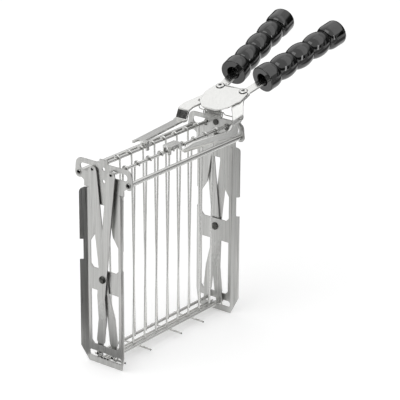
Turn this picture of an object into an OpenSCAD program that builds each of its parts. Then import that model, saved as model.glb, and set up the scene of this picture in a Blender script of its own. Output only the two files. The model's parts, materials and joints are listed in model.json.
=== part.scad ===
// Toasting tongs for a filled sandwich: a wire cage between two stamped end plates.
// X runs along the cage towards the grips, Y to the rear, Z up. The origin is on the lower
// edge of the near end plate, in the middle of its width and of its thickness.

/* [End plates] */
// Distance between the outer faces of the two end plates
cage_l = 160; // [150:1:190]
// Thickness of the end plates
plate_t = 1.2; // [1:0.1:1.4]
// Width of an end plate between its two bend lines
plate_w = 37.4; // [37:0.2:42]
// Reach of each splayed flange past its bend line, across the cage
flange_w = 5.9; // [5:0.1:7]
// Angle of the flanges outwards from the plate
flange_angle = 37; // [20:1:42]
// Distance from the top rods down to the upper edge of the flanges
flange_drop = 18.6; // [18:0.1:24]
// Radius of the flanges' rounded upper corners
flange_corner = 4.5; // [2:0.5:5]
// Height at which the bevel of the lower corners ends
bevel_h = 15; // [14:1:20]
// Width of the neck that carries the ears
neck_w = 44.8; // [42:0.2:48]
// Height of the upper edge of the ears over the top rods
ear_rise = 7; // [6:0.1:7.4]
// Radius of the ears' rounded upper corners
ear_corner = 6.5; // [4:0.5:7]
// Width of the tab with the two holes
tab_w = 9; // [8:0.1:9.4]
// Height of the top of the tab over the top rods
tab_rise = 10.4; // [9:0.1:12]
// Heights of the two holes in the tab over the top rods
tab_hole_rise = [-9.5, 1.9];
// Diameter of the holes in the tab
tab_hole_d = 3.2; // [2.6:0.1:4]
// Half width of the windows at their widest
window_half = 15.8; // [15.4:0.1:16.4]
// Height of the lower edge of the lower window
window_foot = 18.3; // [17:0.1:20]
// Distances from the arm pivots down to the lower window and up to the upper one
pivot_to_window = [13, 8];
// Distance from the top rods down to the upper edge of the upper window
window_drop = 31.6; // [30:0.1:36]
// Depth of the notch in the outer edge of each flange
notch_depth = 2.6; // [1:0.1:4]
// Heights over the arm pivots between which that notch lies
notch_rise = [14, 33];
// Height of the lower edge of the long bottom slot
slot_z = 5.9; // [5.5:0.1:6.2]
// Room past the open bottom rods at each end of that slot
slot_room = 2.9; // [0.2:0.1:3]

/* [Rails and rods] */
// Distance between the axes of the two outer rails
rail_gap = 55.6; // [55:0.2:60]
// Distance from the top rods down to the outer rails
rail_drop = 6.9; // [6.8:0.1:7.5]
// Outer diameter of the rails
rail_d = 4.6; // [4:0.1:4.7]
// Bore of the rails
rail_bore = 2.6; // [1.6:0.1:3]
// Length of rail that stands out of each ear
rail_out = 0.9; // [0.4:0.1:0.9]
// Diameter of the moving top and bottom rods
rod_d = 3; // [2.6:0.1:3]
// Gap round a moving rod
rod_gap = 0.3; // [0.2:0.05:0.4]

/* [Crossed arms] */
// Height of the pivots of the crossed arms
pivot_z = 84; // [83.6:0.1:84.4]
// Length from the pivot to the top rods
arm_up = 101.2; // [101:0.1:101.4]
// Length from the pivot to the bottom rods at rest
arm_down = 74.6; // [74.2:0.1:75]
// Angle of the arms from upright when the grids are closed
rest_angle = 6.3; // [6:0.1:6.5]
// Angle by which the arms turn as the grids open
arm_travel = 4; // [3:0.1:4.2]
// Width of the arms
arm_w = 9; // [8:0.1:9.2]
// Thickness of the arms
arm_t = 1.2; // [1:0.1:1.3]
// Gap between an arm and what lies beside it
arm_gap = 0.3; // [0.25:0.05:0.4]
// Diameter of the shank of the arm pivots
pivot_d = 4; // [3:0.1:5]
// Diameter of the heads of the arm pivots
pivot_head_d = 7; // [6:0.1:8]
// Running clearance of a pivot, on the radius
pivot_play = 0.05; // [0.02:0.01:0.1]

/* [Grids] */
// Diameter of the upright wires
wire_d = 1.8; // [1.4:0.1:1.8]
// Distance from the outer face of an end plate to the first wire
wire_margin = 16; // [14:0.5:20]
// Gap between a hook and the rod that it hangs on
hook_gap = 0.2; // [0.1:0.05:0.25]

/* [Rest] */
// Diameter of the long rods of the rest
rest_d = 2.2; // [1.8:0.1:2.4]
// Distance between the long rods of the rest
rest_pitch = 3.3; // [3:0.1:3.5]
// Diameter of the cross wires
cross_d = 2; // [1.6:0.1:2.2]
// Length of the cross wires
cross_l = 35; // [28:0.5:38]
// Distances of the cross wires from the outer face of the near end plate
cross_at = [6.6, 42.5, 87, 119.5];

/* [Handle] */
// Slope of the bracket, the levers and the grips
slope = 15.7; // [14:0.1:17]
// Distance from the far end plate to the lever pivots
rivet_out = 22.8; // [21:0.1:25]
// Height of the upper face of the levers at their pivots over the top rods
rivet_rise = 26.4; // [25.5:0.1:28]
// Distance between the two lever pivots
rivet_gap = 26.4; // [25:0.1:28]
// Diameter of the shank of the lever pivots
rivet_d = 5; // [4:0.1:5.6]
// Diameter of the heads of the lever pivots
rivet_head_d = 8.4; // [7:0.1:9]
// Thickness of the bracket
bracket_t = 1.5; // [1:0.1:1.6]
// Thickness of the levers
lever_t = 2; // [1.6:0.1:2.1]
// Gap between the bracket and the levers
lever_gap = 0.3; // [0.2:0.05:0.4]
// Width of the levers at their pivots
lever_w = 12.4; // [11:0.1:13]
// Width of the rear lever where it runs low beside its rod
strip_w = 9; // [8:0.1:9.6]
// Width of the tang inside a grip
tang_w = 9; // [7:0.1:10]
// Angle of the rear grip outwards from the cage's length at rest
rear_grip_angle = 7.2; // [6:0.1:9]
// Angle of the front grip outwards from the cage's length at rest
front_grip_angle = 9.4; // [7:0.1:11]
// Height of a grip's axis over the middle of its tang
grip_lift = 2; // [0:0.1:2.5]
// Distance from a lever pivot to the open end of its grip
grip_start = 24.6; // [23:0.1:30]
// Length of the collar of a grip, up to its first groove
collar_l = 16.5; // [14:0.5:20]
// Length over which the collar falls to that groove
collar_fall = 8; // [6:0.5:9]
// Distance from one groove of a grip to the next
groove_pitch = 22.1; // [18:0.1:24]
// Length of the rounded end of a grip
end_l = 21; // [16:0.5:24]
// Radius of a grip at its rounded swellings
grip_r = 11.9; // [10.5:0.1:12.6]
// Radius of a grip in its grooves
groove_r = 8.7; // [7.6:0.1:9.4]
// Radius of the collar at the open end
collar_r = 12.7; // [11.5:0.1:13]
// Diameter of the recess in the collar
recess_d = 12.4; // [11:0.1:13.5]
// Depth of that recess
recess_depth = 9; // [4:0.5:16]
// Height of the upper face of the rear lever's lower part over the top rods
strip_rise = 6; // [5.9:0.1:6.4]
// Distance from the far end plate back to the step in the rear lever
jog_back = 18.5; // [17:0.5:20]
// Distance of the rear lever's fork past the fourth wire
rear_fork_past = 6; // [5:0.5:8]
// Distance of the front lever's fork past the fourth wire
front_fork_past = 9.5; // [5:0.5:10]
// Outer radius of the bend in the front lever's wide arm
bend_r = 12; // [8:0.5:12.5]

/* [Return spring] */
// Outer diameter of the return spring
spring_d = 6.4; // [5:0.1:7]
// Diameter of the spring wire
spring_wire = 1; // [0.8:0.1:1.1]
// Number of turns of the spring
spring_turns = 12; // [8:1:13]
// Distance from turn to turn
spring_pitch = 1.7; // [1.6:0.05:1.9]

/* [Hidden] */
$fn = 48;

steel = [0.74, 0.74, 0.73];
bright_steel = [0.86, 0.86, 0.85];
dark_steel = [0.35, 0.35, 0.34];
black_plastic = [0.07, 0.07, 0.07];

near_x = -plate_t / 2;
far_x = near_x + cage_l;
fit_gap = 0.05;
wires = 9;
wire_pitch = (cage_l - 2 * wire_margin) / (wires - 1);

// Places of the moving rods. A grid keeps its length, so its foot slides down the arm that
// guides it while the arms spread.
open_angle = rest_angle + arm_travel;
rod_room = rod_d / 2 + rod_gap;
grid_l = norm([(arm_up - arm_down) * sin(rest_angle), (arm_up + arm_down) * cos(rest_angle)]);
function foot_reach(angle) =
    sqrt(pow(grid_l, 2) - pow(arm_up * sin(2 * angle), 2)) - arm_up * cos(2 * angle);
function grid_tilt(angle) = asin((arm_up - foot_reach(angle)) * sin(angle) / grid_l);
foot_slip = foot_reach(open_angle) - arm_down;
top_y = arm_up * sin(rest_angle);
top_z = pivot_z + arm_up * cos(rest_angle);
top_open_z = pivot_z + arm_up * cos(open_angle);
foot_y = arm_down * sin(rest_angle);
foot_z = pivot_z - arm_down * cos(rest_angle);
foot_open_y = foot_reach(open_angle) * sin(open_angle);

// Heights that go with the top rods and with the arm pivots
flange_top = top_z - flange_drop;
ear_top = top_z + ear_rise;
tab_top = top_z + tab_rise;
tab_hole_z = [for (rise = tab_hole_rise) top_z + rise];
rail_z = top_z - rail_drop;
strip_z = top_z + strip_rise;
rivet_z = top_z + rivet_rise;
lower_window = [window_foot, pivot_z - pivot_to_window[0]];
upper_window = [pivot_z + pivot_to_window[1], top_z - window_drop];
notch_z = [for (rise = notch_rise) pivot_z + rise];

fourth_wire_x = near_x + wire_margin + 3 * wire_pitch;
rear_fork_x = fourth_wire_x + rear_fork_past;
front_fork_x = fourth_wire_x + front_fork_past;

// Shared helpers

// Outline drawn across the cage, X of the outline to Y and Y of the outline to Z
module across(from, to) {
    translate([from, 0, 0]) rotate([90, 0, 90]) linear_extrude(to - from) children();
}

// Outline drawn along the cage, X of the outline to X and Y of the outline to Z
module along(width) {
    rotate([90, 0, 0]) linear_extrude(width, center = true) children();
}

module at_near() {
    translate([near_x, 0, 0]) children();
}

module at_far() {
    translate([far_x, 0, 0]) mirror([1, 0, 0]) children();
}

module stadium(from, to, radius) {
    way = to - from;
    translate(from) circle(radius);
    translate(to) circle(radius);
    translate(from) rotate(atan2(way[1], way[0])) translate([0, -radius])
        square([norm(way), 2 * radius]);
}

module bent_line(points, thickness) {
    for (i = [0 : len(points) - 2])
        stadium(points[i], points[i + 1], thickness / 2);
}

module rod_along(x_from, x_to, y, z, diameter) {
    translate([x_from, y, z]) rotate([0, 90, 0]) cylinder(h = x_to - x_from, d = diameter);
}

function arc(centre, radius, from, to, steps) =
    [for (i = [0 : steps])
        centre + radius * [cos(from + (to - from) * i / steps),
                           sin(from + (to - from) * i / steps)]];

function mirrored(half) =
    concat(half, [for (i = [len(half) - 1 : -1 : 0]) [-half[i][0], half[i][1]]]);

// End plates

lobe_r = rail_d / 2 + 2.3;
ear_half = rail_gap / 2 + lobe_r - 0.8;
ear_slot_in = top_y + 1.1;
ear_slot_out = rail_gap / 2 - 4.5;
ear_slot_z = (top_z + top_open_z) / 2;
ear_slot_r = (top_z - top_open_z) / 2 + rod_d / 2 + 1.2;
bend_half = plate_w / 2;
foot_slot_half = foot_open_y + rod_room + slot_room;
foot_slot_top = foot_z + rod_room;
slot_corner = 2.2;
relief = 0.4;

module ear_outline(side) {
    polygon([for (p = concat(
        [[0, flange_top + relief], [neck_w / 2, flange_top + relief],
         [neck_w / 2, rail_z - 6]],
        arc([rail_gap / 2, rail_z], lobe_r, -120, 0, 8),
        arc([ear_half - ear_corner, ear_top - ear_corner], ear_corner, 0, 90, 8),
        [[0, ear_top]])) [side * p[0], p[1]]]);
}

module upper_window_outline() {
    low = upper_window[0];
    high = upper_window[1];
    polygon(mirrored([[5, high], [9.6, high - 27], [window_half, high - 36.5],
        [window_half, low + 3], [window_half - 3, low]]));
}

module lower_window_outline() {
    low = lower_window[0];
    high = lower_window[1];
    polygon(mirrored([[window_half, high], [window_half, low + 3], [window_half - 3, low]]));
}

module foot_slot_outline() {
    across_half = foot_slot_half - slot_corner;
    for (z = [slot_z + slot_corner, foot_slot_top - slot_corner])
        stadium([-across_half, z], [across_half, z], slot_corner);
    translate([-foot_slot_half, slot_z + slot_corner])
        square([2 * foot_slot_half, foot_slot_top - slot_z - 2 * slot_corner]);
}

module flange_outline(side) {
    reach = bend_half + flange_w;
    difference() {
        polygon([for (p = concat(
            [[0, 0], [bend_half, 0], [reach, bevel_h]],
            arc([reach - flange_corner, flange_top - flange_corner], flange_corner, 0, 90, 8),
            [[0, flange_top]])) [side * p[0], p[1]]]);
        translate([side * reach, (notch_z[0] + notch_z[1]) / 2])
            square([2 * notch_depth, notch_z[1] - notch_z[0]], center = true);
    }
}

module lower_outline() {
    difference() {
        union() {
            flange_outline(1);
            flange_outline(-1);
        }
        upper_window_outline();
        lower_window_outline();
        foot_slot_outline();
        translate([0, pivot_z]) circle(d = pivot_d + 2 * fit_gap);
    }
}

module upper_outline() {
    difference() {
        union() {
            ear_outline(1);
            ear_outline(-1);
            translate([-bend_half + 1.5, flange_top - 6]) square([plate_w - 3, 8]);
            translate([-tab_w / 2, flange_top]) square([tab_w, tab_top - flange_top]);
        }
        for (side = [-1, 1]) {
            stadium([side * ear_slot_in, ear_slot_z], [side * ear_slot_out, ear_slot_z],
                    ear_slot_r);
            translate([side * rail_gap / 2, rail_z]) circle(d = rail_d + 2 * fit_gap);
        }
        for (z = tab_hole_z)
            translate([0, z]) circle(d = tab_hole_d);
    }
}

// Seen from above: the plate's face, its two bends and the splayed flanges. The inside of the
// sheet is on the +X side.
module plate_plan() {
    reach = flange_w / cos(flange_angle) + 1;
    way = [-sin(flange_angle), cos(flange_angle)];
    through = plate_t * [cos(flange_angle), sin(flange_angle)];
    bend = [0, bend_half];
    half = concat([bend, bend + reach * way, bend + reach * way + through],
                  arc(bend, plate_t, flange_angle, 0, 3));
    polygon(concat(half, [for (i = [len(half) - 1 : -1 : 0]) [half[i][0], -half[i][1]]]));
}

// The plate with its outer face at X = 0 and the cage on the +X side. Above the flanges the
// sheet stays flat.
module end_plate() {
    intersection() {
        linear_extrude(flange_top + 1) plate_plan();
        across(-2 * flange_w, 2 * flange_w) lower_outline();
    }
    across(0, plate_t) upper_outline();
}

module end_plate_near() {
    color(steel) at_near() end_plate();
}

module end_plate_far() {
    color(steel) at_far() end_plate();
}

// Rails

module rail(side) {
    color(bright_steel) difference() {
        rod_along(near_x - rail_out, far_x + rail_out, side * rail_gap / 2, rail_z, rail_d);
        rod_along(near_x - rail_out - 1, far_x + rail_out + 1, side * rail_gap / 2, rail_z,
                  rail_bore);
    }
}

module rail_rear() { rail(1); }
module rail_front() { rail(-1); }

// Crossed arms. Seen along the cage an arm lies outside the plate at its pivot and above, and
// steps through the lower window to the inside. Arm b always lies outside arm a.

arm_a_out = arm_gap + arm_t / 2;
arm_b_out = arm_a_out + arm_t + arm_gap;
arm_b_in = plate_t + arm_gap + 0.3 + arm_t / 2;
arm_a_in = arm_b_in + arm_t + arm_gap;
arm_a_turn = 14;
arm_b_turn = 17;
arm_step = 25;
arm_lean = 0.5;
arm_bend_up = 12;
arm_lean_end = 60;
arm_top = 1.7;
foot_half = 3.2;
foot_end = arm_down + foot_slip + rod_room + 1.4;
foot_taper = 62;

module arm_side_view(out, turn, inside) {
    middle = [[inside, -foot_end - 1], [inside, -turn - arm_step], [-out, -turn],
              [-out, arm_bend_up], [-out - arm_lean, arm_lean_end],
              [-out - arm_lean, arm_up + arm_w / 2 + 1]];
    last = len(middle) - 1;
    polygon(concat([for (p = middle) p + [arm_t / 2, 0]],
                   [for (i = [last : -1 : 0]) middle[i] - [arm_t / 2, 0]]));
}

module arm_front_view() {
    difference() {
        union() {
            stadium([0, arm_up - arm_top], [0, -foot_taper], arm_w / 2);
            stadium([0, -foot_taper], [0, foot_half - foot_end], foot_half);
        }
        circle(d = pivot_d + 2 * pivot_play);
        translate([0, arm_up]) circle(d = rod_d + 2 * fit_gap);
        stadium([0, -arm_down], [0, -arm_down - foot_slip], rod_room);
    }
}

// An arm at the near end, with its top towards the rear when side is 1
module arm(side, out, turn, inside) {
    translate([0, 0, pivot_z]) rotate([-side * rest_angle, 0, 0]) intersection() {
        along(2 * arm_w) arm_side_view(out, turn, inside);
        across(-12, 12) arm_front_view();
    }
}

module arm_a() { arm(1, arm_a_out, arm_a_turn, arm_a_in); }
module arm_b() { arm(-1, arm_b_out, arm_b_turn, arm_b_in); }

module arm_a_near() { color(steel) at_near() arm_a(); }
module arm_a_far() { color(steel) at_far() arm_a(); }
module arm_b_near() { color(steel) at_near() arm_b(); }
module arm_b_far() { color(steel) at_far() arm_b(); }

module top_rod(side, out) {
    past = out + arm_lean + arm_t / 2 + 0.5;
    color(bright_steel) rod_along(near_x - past, far_x + past, side * top_y, top_z, rod_d);
}

module top_rod_rear() { top_rod(1, arm_a_out); }
module top_rod_front() { top_rod(-1, arm_b_out); }

// Pivot of the crossed arms: a shank through plate and arms, a domed head outside and a
// flat head inside
module pivot_rivet() {
    head_at = arm_b_out + arm_t / 2 + arm_gap;
    head_r = pivot_head_d / 2;
    dome = 2;
    translate([0, 0, pivot_z]) rotate([0, -90, 0]) {
        translate([0, 0, -plate_t - 1.1]) cylinder(h = head_at + plate_t + 1.1, d = pivot_d);
        translate([0, 0, -plate_t - 1.1]) cylinder(h = 1.05, r = head_r);
        translate([0, 0, head_at]) rotate_extrude()
            polygon(concat([[0, 0], [head_r, 0]],
                [for (a = [15 : 15 : 90]) [head_r * cos(a), dome * sin(a)]]));
    }
}

module pivot_rivet_near() { color(dark_steel) at_near() pivot_rivet(); }
module pivot_rivet_far() { color(dark_steel) at_far() pivot_rivet(); }

// Rest

rest_z = slot_z + rest_d / 2 + fit_gap;
cross_z = rest_z - rest_d / 2 - cross_d / 2 - fit_gap;

module rest_rod(i) {
    color(bright_steel)
        rod_along(near_x - 0.8, far_x + 0.8, i * rest_pitch, rest_z, rest_d);
}

module rest_rod_1() { rest_rod(-1); }
module rest_rod_2() { rest_rod(0); }
module rest_rod_3() { rest_rod(1); }

module cross_wire(i) {
    color(bright_steel) translate([near_x + cross_at[i], 0, cross_z]) rotate([90, 0, 0])
        cylinder(h = cross_l, d = cross_d, center = true);
}

module cross_wire_1() { cross_wire(0); }
module cross_wire_2() { cross_wire(1); }
module cross_wire_3() { cross_wire(2); }
module cross_wire_4() { cross_wire(3); }

// Grids. Each is drawn hanging from its top rod at the origin and leaning by its tilt.

hook_r = rod_d / 2 + hook_gap + wire_d / 2;
hook_turn = 205;

module hung(side) {
    translate([0, side * top_y, top_z]) rotate([-side * grid_tilt(rest_angle), 0, 0])
        children();
}

module bottom_rod(side) {
    color(bright_steel) hung(side) rod_along(near_x - 0.8, far_x + 0.8, 0, -grid_l, rod_d);
}

module bottom_rod_rear() { bottom_rod(1); }
module bottom_rod_front() { bottom_rod(-1); }

// The straight leg runs on the sandwich side of the rods and ends in a hook over the top rod
module wire(side, i) {
    at_x = near_x + wire_margin + (i - 1) * wire_pitch;
    leg = grid_l + 0.3;
    color(bright_steel) hung(side) translate([at_x, 0, 0]) mirror([0, side > 0 ? 1 : 0, 0]) {
        translate([0, hook_r, -leg]) cylinder(h = leg, d = wire_d);
        rotate([90, 0, 90]) rotate_extrude(angle = hook_turn) translate([hook_r, 0])
            circle(d = wire_d);
    }
}

module rear_wire_1() { wire(1, 1); }
module rear_wire_2() { wire(1, 2); }
module rear_wire_3() { wire(1, 3); }
module rear_wire_4() { wire(1, 4); }
module rear_wire_5() { wire(1, 5); }
module rear_wire_6() { wire(1, 6); }
module rear_wire_7() { wire(1, 7); }
module rear_wire_8() { wire(1, 8); }
module rear_wire_9() { wire(1, 9); }
module front_wire_1() { wire(-1, 1); }
module front_wire_2() { wire(-1, 2); }
module front_wire_3() { wire(-1, 3); }
module front_wire_4() { wire(-1, 4); }
module front_wire_5() { wire(-1, 5); }
module front_wire_6() { wire(-1, 6); }
module front_wire_7() { wire(-1, 7); }
module front_wire_8() { wire(-1, 8); }
module front_wire_9() { wire(-1, 9); }

// Handle. In the sloped frame X runs from the lever pivots towards the grips, Z = 0 is the
// upper face of the levers.

rivet_x = far_x + rivet_out;
rivet_y = rivet_gap / 2;
jog_x = far_x - jog_back;
jog_foot = jog_x - 3.8;
jog_half = 1.1;

module sloped() {
    translate([rivet_x, 0, rivet_z]) rotate([0, -slope, 0]) children();
}

// Place along the slope of a point at distance x from the near plate, and its height there
function on_slope(x) = (x - rivet_x) / cos(slope);
function mid_sheet_z(x) = rivet_z - lever_t / 2 / cos(slope) + tan(slope) * (x - rivet_x);

module above_levers(height) {
    sloped() translate([-100, -60, height]) cube([200, 120, 60]);
}

module bracket_outline() {
    polygon([for (p = mirrored(concat(
        arc([8, 3.2], 2.8, 10, 60, 3), arc([16.2, -3.2], 3.4, 60, 20, 2),
        arc([17.3, -14.5], 3.5, -5, -55, 3), [[16, -28.5]],
        arc([6.5, -32], 4, -50, -90, 3)))) [p[1], p[0]]]);
}

module handle_bracket() {
    color(bright_steel) {
        sloped() translate([0, 0, lever_gap]) linear_extrude(bracket_t) difference() {
            bracket_outline();
            for (side = [-1, 1])
                translate([0, side * rivet_y]) circle(d = rivet_d + 2 * fit_gap);
        }
        difference() {
            across(far_x + fit_gap, far_x + fit_gap + bracket_t) difference() {
                translate([-tab_w / 2, tab_hole_z[0] - 4.5]) square([tab_w, 45]);
                for (z = tab_hole_z)
                    translate([0, z]) circle(d = tab_hole_d);
            }
            above_levers(lever_gap + bracket_t / 2);
        }
    }
}

// Two rivets through the tab of the far end plate and the bracket
module bracket_rivets() {
    shank = tab_hole_d - 2 * fit_gap;
    stack = plate_t + bracket_t + 2 * fit_gap;
    head_h = 0.9;
    color(dark_steel) for (z = tab_hole_z)
        translate([far_x - plate_t - head_h, 0, z]) rotate([0, 90, 0]) {
            cylinder(h = stack + 2 * head_h, d = shank);
            cylinder(h = head_h - 0.02, d = 5.6);
            translate([0, 0, stack + head_h + 0.02]) cylinder(h = head_h - 0.02, d = 5.6);
        }
}

module lever_rivet(side) {
    top = lever_gap + bracket_t;
    foot = -lever_t - lever_gap;
    head_h = 1.3;
    dimple_d = 3.4;
    color(bright_steel) sloped() translate([0, side * rivet_y, 0]) difference() {
        union() {
            translate([0, 0, foot - 1]) cylinder(h = top - foot + 1.5, d = rivet_d);
            translate([0, 0, foot - 1]) cylinder(h = 1, d = rivet_head_d);
            translate([0, 0, top + 0.02]) rotate_extrude()
                polygon([[0, 0], [rivet_head_d / 2, 0], [rivet_head_d / 2, 0.5],
                         [rivet_head_d / 2 - 0.9, head_h], [0, head_h]]);
        }
        translate([0, 0, top + 0.4]) cylinder(h = 3, d = dimple_d);
    }
}

module lever_rivet_rear() { lever_rivet(1); }
module lever_rivet_front() { lever_rivet(-1); }

// Levers

tang_in = 46;
fork_gap = 0.5;
fork_t = 1.5;
fork_l = 4;
fork_low = top_open_z - rod_d / 2 - 0.3;
spring_x = far_x - 5;
spring_z = strip_z + 5.4;
spring_hole_d = spring_wire + 1;
spring_r = (spring_d - spring_wire) / 2;
hook_x = spring_x + spring_r;
rear_hook_y = 18.6;

function grip_turn(side) = side * (side > 0 ? rear_grip_angle : front_grip_angle);

module tang_outline(side) {
    translate([0, side * rivet_y]) rotate(grip_turn(side)) translate([0, -tang_w / 2])
        square([grip_start + tang_in, tang_w]);
}

module pivot_hole(side) {
    translate([0, side * rivet_y]) circle(d = rivet_d + 2 * pivot_play);
}

// Two fingers that hold a top rod between them and let it sink as the grid swings out
module fork(side, at_x) {
    for (reach = [rod_d / 2 + fork_gap, -rod_d / 2 - fork_gap - fork_t])
        translate([at_x - fork_l / 2, side * (top_y + reach) - (side > 0 ? 0 : fork_t), fork_low])
            cube([fork_l, fork_t, strip_z - fork_low - 0.1]);
}

rear_bow_y = 23.6;
rear_strip_y = top_y + 5.3;

module lever_rear() {
    fork_x = rear_fork_x;
    low_z = strip_z - lever_t / 2;
    color(bright_steel) difference() {
        union() {
            sloped() translate([0, 0, -lever_t]) linear_extrude(lever_t) difference() {
                union() {
                    bent_line([[0, rivet_y], [-13, rivet_y + 0.4],
                               [on_slope(jog_x + 7), rear_bow_y],
                               [on_slope(jog_x) - 3, rear_bow_y]], lever_w);
                    tang_outline(1);
                }
                translate([on_slope(jog_x - jog_half) - 20, 0]) square([20, 60]);
                pivot_hole(1);
            }
            translate([0, rear_bow_y, 0]) along(lever_w - 0.1) polygon([
                [jog_x + jog_half, mid_sheet_z(jog_x + jog_half)],
                [jog_x - 0.9 * jog_half, mid_sheet_z(jog_x - 0.9 * jog_half)],
                [jog_foot - jog_half, low_z],
                [jog_foot + 0.9 * jog_half, low_z]]);
            translate([0, 0, strip_z - lever_t]) linear_extrude(lever_t) {
                translate([jog_foot - jog_half - 3, rear_bow_y - lever_w / 2])
                    square([2 * jog_half + 3, lever_w]);
                difference() {
                    bent_line([[jog_foot - 4, rear_bow_y - 0.4], [fork_x, rear_strip_y]],
                              strip_w);
                    translate([fork_x - 20 - fork_l / 4, 0]) square([20, 60]);
                }
                stadium([fork_x - 6, rear_strip_y + 3], [fork_x + 2, rear_strip_y + 3], 1.4);
                translate([fork_x - fork_l / 2, top_y - rod_d / 2 - fork_gap - fork_t])
                    square([fork_l, 8]);
            }
            fork(1, fork_x);
        }
        translate([hook_x, rear_hook_y, spring_z]) cylinder(h = 14, d = spring_hole_d);
    }
}

fold_near_y = top_y + 4.4;
fold_angle = 8;
function fold_y(x) = -fold_near_y - tan(fold_angle) * (x - front_fork_x);

upright_low = rail_z + rail_d / 2 + 0.4;
upright_high = upright_low + 7.2;
upright_step = upright_high + 4.5;

// Upright sheet of the front lever, drawn from its fork towards the handle
module upright_outline() {
    low = upright_low;
    high = upright_high;
    clear = far_x - plate_t - 1.9 - front_fork_x;
    polygon(concat(
        [[9, strip_z], [9, high - 2], [16, low]],
        [[clear - 5, low]], arc([clear - 5.5, low + 5.5], 5.5, -60, 0, 4),
        [[clear, ear_top + 1], [clear + 7, ear_top + 4], [clear + 7, rivet_z],
         [clear - 8, rivet_z], [clear - 8, upright_step], [clear - 11, high + 0.8],
         [clear - 14, high], [22, high], [19, strip_z]]));
}

// The bend of the wide arm. Seen along the fold, with Y to the rear and Z up, the origin is the
// sharp outer corner. The bend's centre is equally far from the outer faces of both sheets.
fold_rise = atan(tan(slope) * cos(fold_angle));
sheet_tip = asin(sin(slope) * sin(fold_angle));
upper_way = [-sin(sheet_tip), cos(sheet_tip)];
outer_way = [-1, 0];
both_ways = (upper_way + outer_way) / (1 + sin(sheet_tip));
bend_centre = -bend_r * both_ways;

module at_fold(from, to) {
    translate([far_x, fold_y(far_x) - lever_t / 2 / cos(fold_angle),
               rivet_z - tan(slope) * rivet_out])
        rotate([0, -fold_rise, -fold_angle]) across(from, to) children();
}

// What lies between a corner and the circle of the given radius about the bend's centre
module bend_corner(tip, radius, past) {
    difference() {
        polygon([tip, bend_centre + (radius + past) * upper_way, bend_centre,
                 bend_centre + (radius + past) * outer_way]);
        translate(bend_centre) circle(radius);
    }
}

module lever_front() {
    fork_x = front_fork_x;
    top_far = far_x + 3;
    top_near = far_x - 11.8;
    lever_side = [rivet_x - 14 * cos(slope), -rivet_y + 5];
    wide_arm = [[top_far, fold_y(top_far)], [top_far + 12.6, fold_y(top_far) + 9.8],
                [rivet_x - 7.7, -rivet_y], lever_side, [top_near, fold_y(top_near) - 1]];
    color(bright_steel) difference() {
        union() {
            intersection() {
                at_fold(-20, 20)
                    bend_corner((0.3 - lever_t) * both_ways, bend_r - lever_t, 0.3);
                linear_extrude(2 * rivet_z) polygon(wide_arm);
            }
            sloped() translate([0, 0, -lever_t]) linear_extrude(lever_t) difference() {
                union() {
                    bent_line([[0, -rivet_y], [-13, -rivet_y - 1]], lever_w);
                    polygon([for (p = wide_arm) [on_slope(p[0]), p[1]]]);
                    tang_outline(-1);
                }
                pivot_hole(-1);
            }
            difference() {
                translate([fork_x, -fold_near_y, 0]) rotate([0, 0, -fold_angle])
                    along(lever_t) upright_outline();
                above_levers(-0.02);
            }
            translate([fork_x - fork_l / 2, -fold_near_y - 2, strip_z - lever_t])
                cube([16, fold_near_y + 2 - (top_y - rod_d / 2 - fork_gap - fork_t), lever_t]);
            fork(-1, fork_x);
        }
        translate([hook_x, 0, spring_z]) rotate([90, 0, 0])
            cylinder(h = 60, d = spring_hole_d);
        at_fold(-13, 20) bend_corner([-0.7, 0.7], bend_r, 0.2);
        translate([0, 0, upright_step]) linear_extrude(60)
            polygon([[top_near, fold_y(top_near) - 1], lever_side,
                     [top_near - 6, lever_side[1]], [top_near - 6, fold_y(top_near) - 1]]);
    }
}

// Grips

module grip_profile() {
    swell = grip_r - groove_r;
    balls = 3;
    end_at = collar_l + balls * groove_pitch;
    polygon(concat(
        [[0, 0], [collar_r - 1.4, 0], [collar_r, 1.6], [collar_r, collar_l - collar_fall]],
        [for (t = [1 : 5]) [groove_r + (collar_r - groove_r) * cos(90 * t / 5),
                            collar_l - collar_fall + collar_fall * sin(90 * t / 5)]],
        [for (i = [0 : balls - 1], t = [1 : 12])
            [groove_r + swell * pow(abs(sin(180 * t / 12)), 0.7),
             collar_l + groove_pitch * (i + t / 12)]],
        [for (t = [1 : 4]) [groove_r + (swell + 0.4) * sin(90 * t / 4),
                            end_at + 6 * (1 - cos(90 * t / 4))]],
        arc([grip_r + 0.4 - 5, end_at + end_l - 5], 5, 0, 90, 6),
        [[0, end_at + end_l]]));
}

module grip(side) {
    tang_z = -grip_lift - lever_t / 2;
    color(black_plastic) sloped() translate([0, side * rivet_y, grip_lift - lever_t / 2])
        rotate([0, 0, grip_turn(side)]) translate([grip_start, 0, 0]) difference() {
            rotate([0, 90, 0]) rotate_extrude() grip_profile();
            translate([-1, 0, 0]) rotate([0, 90, 0])
                cylinder(h = recess_depth + 1, d = recess_d);
            translate([0, -tang_w / 2 - fit_gap, tang_z - fit_gap])
                cube([tang_in + 0.5, tang_w + 2 * fit_gap, lever_t + 2 * fit_gap]);
        }
}

module grip_rear() { grip(1); }
module grip_front() { grip(-1); }

// Return spring: a coil across the cage under the bracket, with a straight arm through the
// front lever and a bent arm up through the rear lever. Each path entry holds a point and the
// direction, as an angle in the XZ plane, that faces away from the coil's axis.

coil_half = spring_turns * spring_pitch / 2;
front_arm_y = fold_y(hook_x) - 3;
sheet_at_hook = mid_sheet_z(hook_x);
rings_per_turn = 8;

function coil_point(turn) =
    [spring_x + spring_r * cos(360 * turn), -coil_half + spring_pitch * turn,
     spring_z + spring_r * sin(360 * turn)];

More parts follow.
